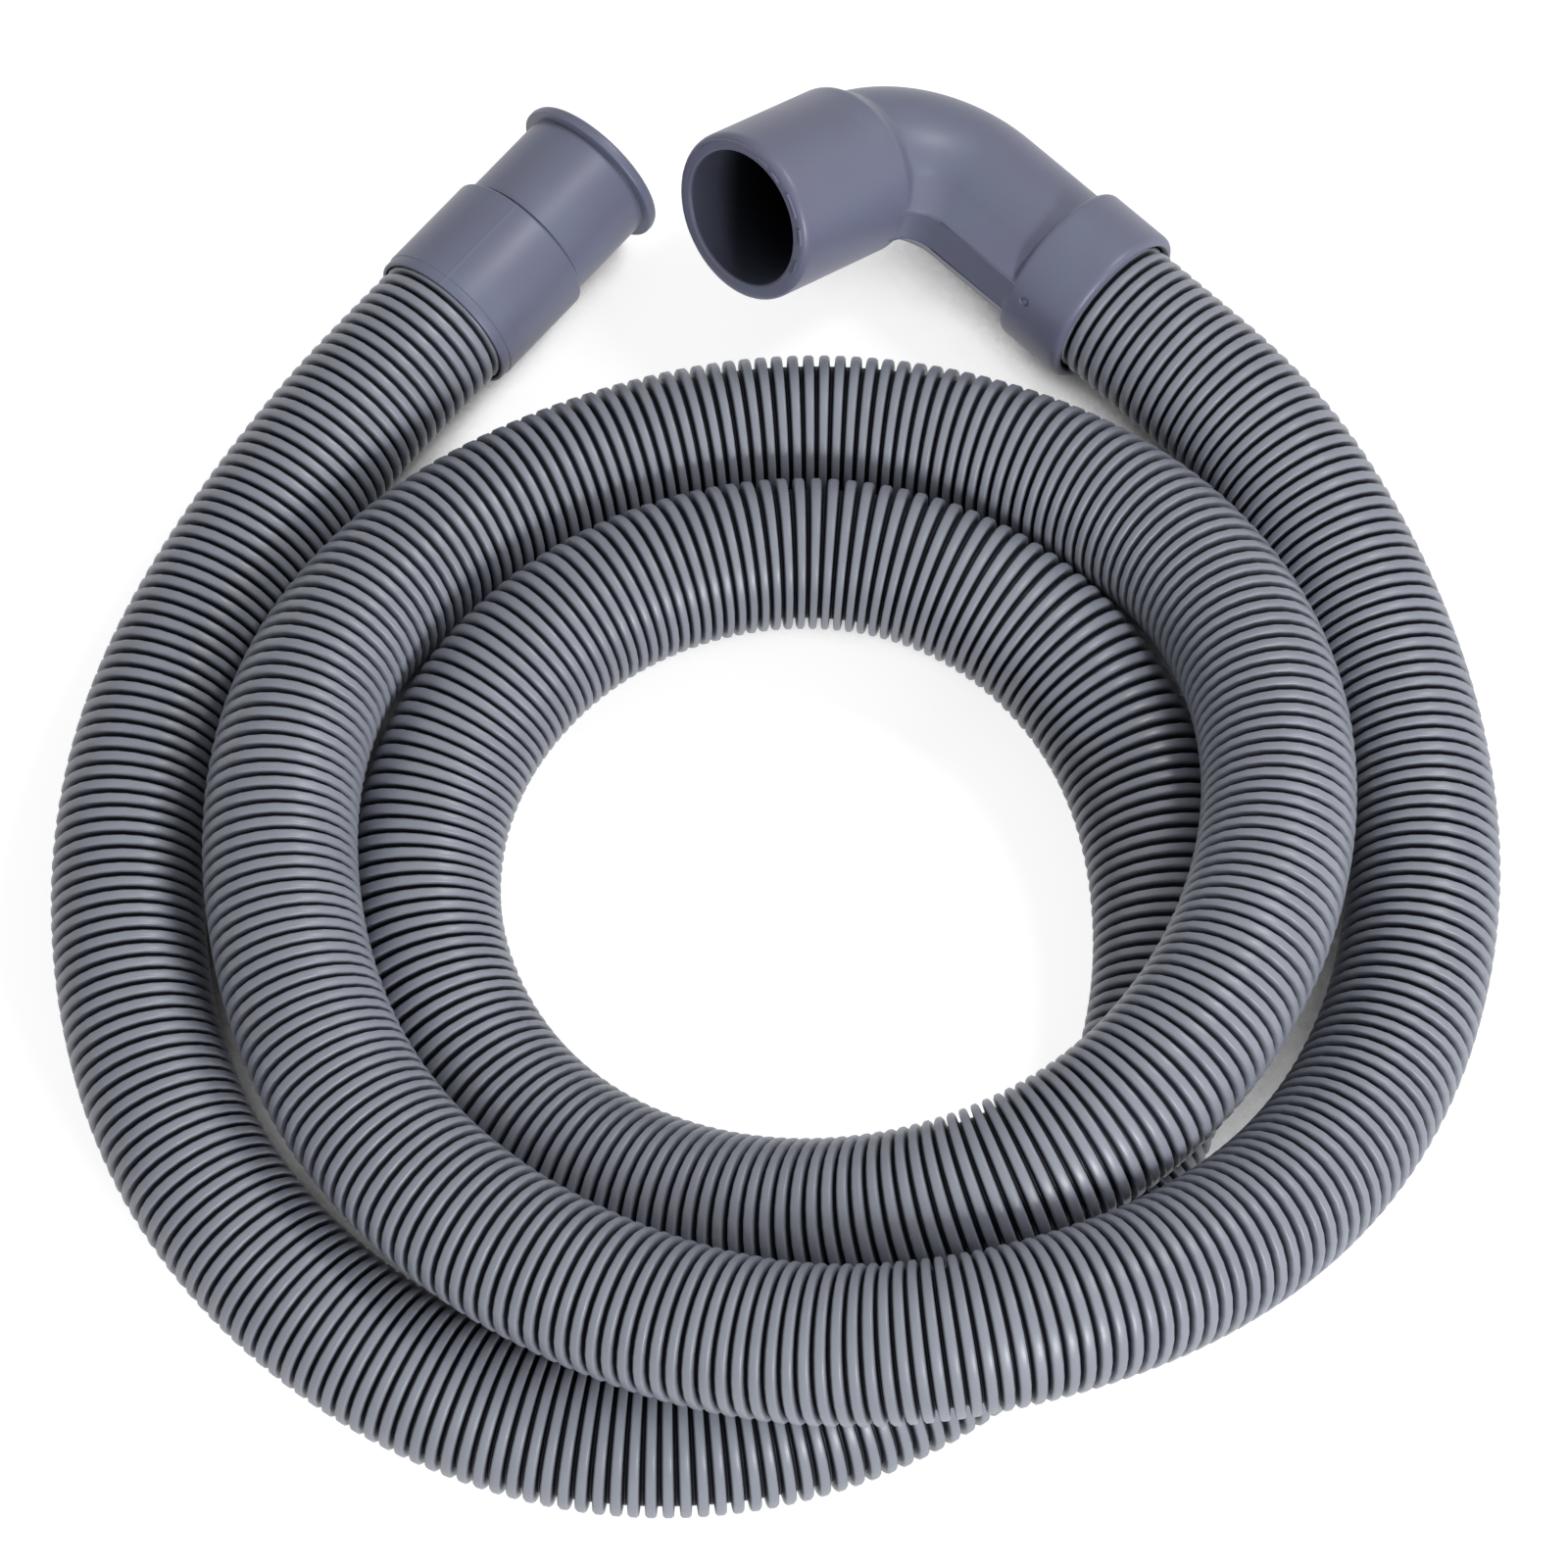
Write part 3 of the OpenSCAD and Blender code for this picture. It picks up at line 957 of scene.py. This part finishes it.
@dataclass
class Elbow:
    """The right-angle end piece: collar, bent tube with a web in its corner, and socket."""

    mouth_d: float = 34.6
    collar_length: float = 18.0
    collar_wall: float = 2.7
    tube_bore: float = 28.4
    tube_wall: float = 3.2
    tube_run: float = 24.0
    bend_radius: float = 24.0
    bend_angle: float = 85.0
    socket_bore: float = 32.0
    socket_wall: float = 4.0
    socket_depth: float = 32.0
    bore_step: float = 2.5
    shoulder_run: float = 5.5
    # How far the shoulder's top is eased, along the socket and inwards
    shoulder_ease: Span = (0.3, 0.1)
    web_t: float = 8.5
    web_corner: float = 7.0
    web_foot: float = 20.0
    web_bead: float = 0.3
    web_sink: float = 0.1
    corner_steps: int = 12
    gate_x: float = 12.6
    gate_angle: float = 6.7
    gate_r: float = 1.5
    gate_depth: float = 0.4
    gate_slope: float = 0.4
    # Radius of the pin that stands in the scar, at its foot and at its top
    gate_pin: Span = (0.5, 0.3)
    # Bits of flash on the socket's rim: radius, first and last angle, from the bend's outside
    flash: tuple[tuple[float, float, float], ...] = (
        (18.7, 102.0, 158.0), (18.0, 84.0, 96.0), (17.8, 70.0, 79.0),
        (18.5, 42.0, 60.0), (18.9, 22.0, 34.0), (18.4, -4.0, 8.0),
    )
    flash_width: float = 0.45
    flash_height: float = 0.5
    flash_root: float = 1.0
    # Half the flash's width at its root and at its top, as shares of its width
    flash_taper: Span = (0.5, 0.2)
    flash_step: float = 4.0
    mouth_round: float = 1.6
    mouth_flare: float = 0.8
    socket_foot_r: float = 1.0
    # From the socket's mouth inwards, where the painted bore shade starts and how far it runs to
    # full
    dark_start: float = -1.5
    dark_run: float = 4.0
    roll: float = 24.0
    edge_r: float = 1.5
    stop_gap: float = 0.5
    # How far shapes that are melted together run into each other
    overlap: float = 0.5
    # How far a cutting shape stands out past the surface that it opens
    clear: float = 1.0
    bore_margin: float = 0.4
    sides: int = 96
    gate_sides: int = 24
    bend_steps: int = 40
    grain: float = 0.5
    fairing: int = 3
    fairing_strength: float = 0.5
    name: str = "elbow_body"

    def place(self) -> Matrix:
        """Where the elbow stands, in millimetres."""
        turn = Matrix.Rotation(math.radians(ELBOW_END.heading), 4, "Z")
        roll = Matrix.Rotation(math.radians(self.roll), 4, "X")
        return Matrix.Translation(ELBOW_END.seat) @ turn @ roll

    @property
    def bend_start(self) -> float:
        """Length from the hose's side to the start of the bend."""
        return self.collar_length + self.tube_run

    @property
    def reach(self) -> float:
        """How far the socket's mouth lies past the end of the bend."""
        return self.bore_step + self.socket_depth

    def bend_end(self) -> Matrix:
        """The end of the bend, with +X along the socket, in the elbow's own frame."""
        a = math.radians(self.bend_angle)
        x = self.bend_start + self.bend_radius * math.sin(a)
        y = self.bend_radius * (1 - math.cos(a))
        return Matrix.Translation((x, y, 0.0)) @ Matrix.Rotation(a, 4, "Z")

    def add_bent_tube(
        self, mesh: bmesh.types.BMesh, start: float, radius: float, reach: float
    ) -> None:
        """Add a closed solid tube that runs round the bend.

        Args:
            mesh: The mesh that gets it.
            start: Length at which it starts.
            radius: Its radius.
            reach: How far it goes on past the end of the bend.
        """
        lay = Matrix.Translation((start, 0, 0)) @ Matrix.Rotation(math.pi / 2, 4, "Y")
        disc = bmesh.ops.create_circle(
            mesh, cap_ends=True, segments=self.sides, radius=radius, matrix=lay
        )
        cap = disc["verts"][0].link_faces[0]
        cap = pull(mesh, cap, Vector((self.bend_start - start, 0, 0)))
        spun = bmesh.ops.spin(
            mesh,
            geom=[cap],
            cent=(self.bend_start, self.bend_radius, 0),
            axis=(0, 0, 1),
            angle=math.radians(self.bend_angle),
            steps=self.bend_steps,
        )
        cap = next(g for g in spun["geom_last"] if isinstance(g, bmesh.types.BMFace))
        pull(mesh, cap, self.bend_end().to_3x3() @ Vector((reach, 0, 0)))
        # The caps that are left across the inside would keep the tube from cutting cleanly
        inner = [face for face in mesh.faces if all(len(e.link_faces) > 2 for e in face.edges)]
        bmesh.ops.delete(mesh, geom=inner, context="FACES_ONLY")

    def web_start(self) -> tuple[float, float]:
        """Where the web's free edge starts at the collar."""
        collar_r = self.mouth_d / 2 + self.collar_wall
        edge_y = math.sqrt(collar_r**2 - (self.web_t / 2) ** 2) - self.web_sink
        return self.collar_length - self.edge_r - self.overlap, edge_y

    def web_middle(self) -> tuple[float, float]:
        """Middle of the concave corner at the end of the web's free edge."""
        socket_r = self.socket_bore / 2 + self.socket_wall
        wall_x = self.bend_end().translation.x - socket_r + self.overlap
        return wall_x - self.web_corner, self.web_start()[1] + self.web_corner

    def add_web(self, mesh: bmesh.types.BMesh) -> None:
        """Add the flat web that fills the bend's inner corner, its free edge hollowed."""
        tube_r = self.tube_bore / 2 + self.tube_wall
        start_x, edge_y = self.web_start()
        middle = self.web_middle()
        far_x = self.bend_start + self.bend_radius
        # The web's root lies well inside the tube
        root_y = tube_r / 3
        loops = []
        # The flanks slope out to where they touch the tube
        for z in (-self.web_foot / 2, -self.web_t / 2, self.web_t / 2, self.web_foot / 2):
            if abs(z) > self.web_t / 2:
                y = math.sqrt(tube_r**2 - z**2)
                corner = (self.bend_start, self.bend_radius, -90, 0, self.bend_radius - y)
            else:
                y = edge_y
                corner = (*middle, -90, 0, self.web_corner)
            outline = [
                (start_x, root_y),
                (start_x, y),
                *arc(*corner, steps=self.corner_steps),
                (far_x, corner[1]),
                (far_x, root_y),
            ]
            ring = [mesh.verts.new((x, y, z)) for x, y in outline]
            loops.append([mesh.edges.new(pair) for pair in zip(ring, ring[1:] + ring[:1])])
        for near, far in zip(loops, loops[1:]):
            bmesh.ops.bridge_loops(mesh, edges=near + far)
        bmesh.ops.edgeloop_fill(mesh, edges=loops[0])
        bmesh.ops.edgeloop_fill(mesh, edges=loops[-1])

    def outside(self) -> bpy.types.Object:
        """Make the outside as one solid, its shapes melted together with small fillets.

        Returns:
            The object.
        """
        collar_r = self.mouth_d / 2 + self.collar_wall
        socket_r = self.socket_bore / 2 + self.socket_wall
        tube_r = self.tube_bore / 2 + self.tube_wall
        length, e, rim = self.collar_length, self.edge_r, self.mouth_round
        ease_x, ease_r = self.shoulder_ease
        sag = self.shoulder_run**2 / (2 * self.bend_radius)
        mesh = bmesh.new()
        collar = [
            (0.0, 0.0),
            *arc(e, collar_r - e, 180, 90, e),
            *arc(length - e, collar_r - e, 90, 0, e),
            (length, 0.0),
        ]
        socket = [
            (-self.shoulder_run, 0.0),
            (-self.shoulder_run, tube_r - sag),
            (0.0, socket_r - ease_r),
            (ease_x, socket_r),
            *arc(self.reach - rim, socket_r - rim, 90, 0, rim),
            (self.reach, 0.0),
        ]
        lathe(mesh, collar, self.sides, Matrix.Identity(4))
        lathe(mesh, socket, self.sides, self.bend_end())
        self.add_bent_tube(mesh, length - self.overlap, tube_r, self.overlap)
        self.add_web(mesh)
        bmesh.ops.recalc_face_normals(mesh, faces=mesh.faces)
        bmesh.ops.transform(mesh, matrix=self.place(), verts=mesh.verts)
        elbow = new_object(self.name, mesh)
        remesh = elbow.modifiers.new("melt", "REMESH")
        remesh.mode = "VOXEL"
        remesh.voxel_size = self.grain * MM
        smooth = elbow.modifiers.new("fair", "SMOOTH")
        smooth.factor = self.fairing_strength
        smooth.iterations = self.fairing
        return finished(elbow)

    def tools(self) -> list[bpy.types.Object]:
        """Make the solids that are cut out: the three bores and the scar of the mould's gate."""
        grip = ELBOW_END.grip
        mouth_r, way_r, socket_r = self.mouth_d / 2, self.tube_bore / 2, self.socket_bore / 2
        reach = self.reach
        flare, clear, foot_r = self.mouth_flare, self.clear, self.socket_foot_r
        hose_bore = [
            (-clear, 0.0),
            (-clear, mouth_r + flare + clear),
            (flare, mouth_r),
            (grip + self.stop_gap, mouth_r),
            (grip + self.stop_gap, 0.0),
        ]
        socket_bore = [
            (self.bore_step, 0.0),
            *arc(self.bore_step + foot_r, socket_r - foot_r, 180, 90, foot_r),
            *arc(reach - flare, socket_r + flare, -90, 0, flare),
            (reach + clear, socket_r + flare),
            (reach + clear, 0.0),
        ]
        gate = [
            (-self.gate_depth, self.gate_pin[0]),
            (-self.gate_depth, self.gate_r - self.gate_slope),
            (clear, self.gate_r + self.gate_slope),
            (clear, self.gate_pin[1]),
        ]
        at_gate = (
            Matrix.Rotation(math.radians(self.gate_angle), 4, "X")
            @ Matrix.Translation((self.gate_x, mouth_r + self.collar_wall, 0))
            @ Matrix.Rotation(math.pi / 2, 4, "Z")
        )
        made = []
        for cut in Cut:
            mesh = bmesh.new()
            if cut is Cut.HOSE:
                lathe(mesh, hose_bore, self.sides, Matrix.Identity(4))
            elif cut is Cut.WAY:
                self.add_bent_tube(mesh, grip, way_r, reach)
                bmesh.ops.recalc_face_normals(mesh, faces=mesh.faces)
            elif cut is Cut.SOCKET:
                lathe(mesh, socket_bore, self.sides, self.bend_end())
            else:
                lathe(mesh, gate, self.gate_sides, at_gate)
            bmesh.ops.transform(mesh, matrix=self.place(), verts=mesh.verts)
            made.append(new_object(cut.value, mesh))
        return made

    def add_beads(self, mesh: bmesh.types.BMesh) -> None:
        """Add the fine raised line that the mould left along each edge of the web."""
        (start_x, edge_y), middle = self.web_start(), self.web_middle()
        b = self.web_bead / 2
        for z in (-self.web_t / 2, self.web_t / 2):
            section = ((-b, 0.0), (0.0, -b), (b, 0.0), (0.0, b))
            corners = [mesh.verts.new((start_x, edge_y + dy, z + dz)) for dy, dz in section]
            face = pull(mesh, mesh.faces.new(corners), Vector((middle[0] - start_x, 0, 0)))
            bmesh.ops.spin(
                mesh,
                geom=[face],
                cent=(*middle, 0),
                axis=(0, 0, 1),
                angle=math.pi / 2,
                steps=self.corner_steps,
            )
        bmesh.ops.recalc_face_normals(mesh, faces=mesh.faces)
        bmesh.ops.transform(mesh, matrix=self.place(), verts=mesh.verts)

    def add_flash(self, mesh: bmesh.types.BMesh) -> None:
        """Add the thin bits of flash that stand on the socket's rim."""
        root, top = -self.flash_root, self.flash_height
        wide, thin = self.flash_taper
        for r, start, end in self.flash:
            turn = Matrix.Rotation(math.radians(start), 4, "X")
            section = ((root, -wide), (root, wide), (top, thin), (top, -thin))
            corners = [
                mesh.verts.new(turn @ Vector((self.reach + x, r + w * self.flash_width, 0)))
                for x, w in section
            ]
            bmesh.ops.spin(
                mesh,
                geom=[mesh.faces.new(corners)],
                cent=(0, 0, 0),
                axis=(1, 0, 0),
                angle=math.radians(end - start),
                steps=max(2, round((end - start) / self.flash_step)),
            )
        bmesh.ops.recalc_face_normals(mesh, faces=mesh.faces)
        bmesh.ops.transform(mesh, matrix=self.place() @ self.bend_end(), verts=mesh.verts)

    def depth(self, point: Vector) -> float:
        """How much shade is painted at a point by how deep in a bore it is, from 0 at the socket's
        mouth and outside to 1.
        """
        x, y, z = self.bend_end().inverted() @ point
        if x > 0:
            inside = math.hypot(y, z) < self.socket_bore / 2 + self.bore_margin
            deep = (self.reach - self.dark_start - x) / self.dark_run
            return min(deep, 1.0) if inside else 0.0
        round_bend = math.hypot(point.x - self.bend_start, point.y - self.bend_radius)
        away = point.y if point.x < self.bend_start else round_bend - self.bend_radius
        in_mouth = point.x < ELBOW_END.grip + self.clear
        way_r = self.mouth_d / 2 if in_mouth else self.tube_bore / 2
        return 1.0 if math.hypot(away, point.z) < way_r + self.bore_margin else 0.0

    def build(self) -> bpy.types.Object:
        """Make the elbow.

        Returns:
            The object.
        """
        elbow = self.outside()
        tools = self.tools()
        for tool in tools:
            cut = elbow.modifiers.new("cut", "BOOLEAN")
            cut.operation = "DIFFERENCE"
            cut.solver = "MANIFOLD"
            cut.object = tool
        finished(elbow)
        for tool in tools:
            bpy.data.objects.remove(tool)
        for add in (self.add_beads, self.add_flash):
            mesh = bmesh.new()
            add(mesh)
            bmesh.ops.scale(mesh, vec=(MM, MM, MM), verts=mesh.verts)
            mesh.from_mesh(elbow.data)
            mesh.to_mesh(elbow.data)
            mesh.free()
        elbow.data.shade_smooth()
        # Store how much shade is painted at each vertex down the bores
        mark(elbow, "painted_shade", self.place(), self.depth)
        sharpen(elbow)
        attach(elbow, "elbow")
        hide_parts("elbow_fitting")
        return elbow

    def dress(self, elbow: bpy.types.Object, finish: bpy.types.Material) -> None:
        """Give the elbow its finish."""
        elbow.data.materials.clear()
        elbow.data.materials.append(finish)


def main() -> None:
    """Build the scene piece by piece."""
    logging.basicConfig(level=logging.INFO, format="%(name)s: %(message)s")
    Studio().build()
    route = Route()
    hose_maker = RibbedHose(route)
    hose = hose_maker.build()
    hose_maker.dress(hose, BlowMouldedPolyethylene())
    log.info("%s: %.0f mm along, %d faces", hose.name, route.length, len(hose.data.polygons))
    fitting = InjectionMouldedPolypropylene().material()
    cuff_maker = StraightCuff()
    cuff = cuff_maker.build()
    cuff_maker.dress(cuff, fitting)
    log.info("%s: %d faces", cuff.name, len(cuff.data.polygons))
    elbow_maker = Elbow()
    elbow = elbow_maker.build()
    elbow_maker.dress(elbow, fitting)
    log.info("%s: %d faces", elbow.name, len(elbow.data.polygons))


if __name__ == "__main__":
    main()
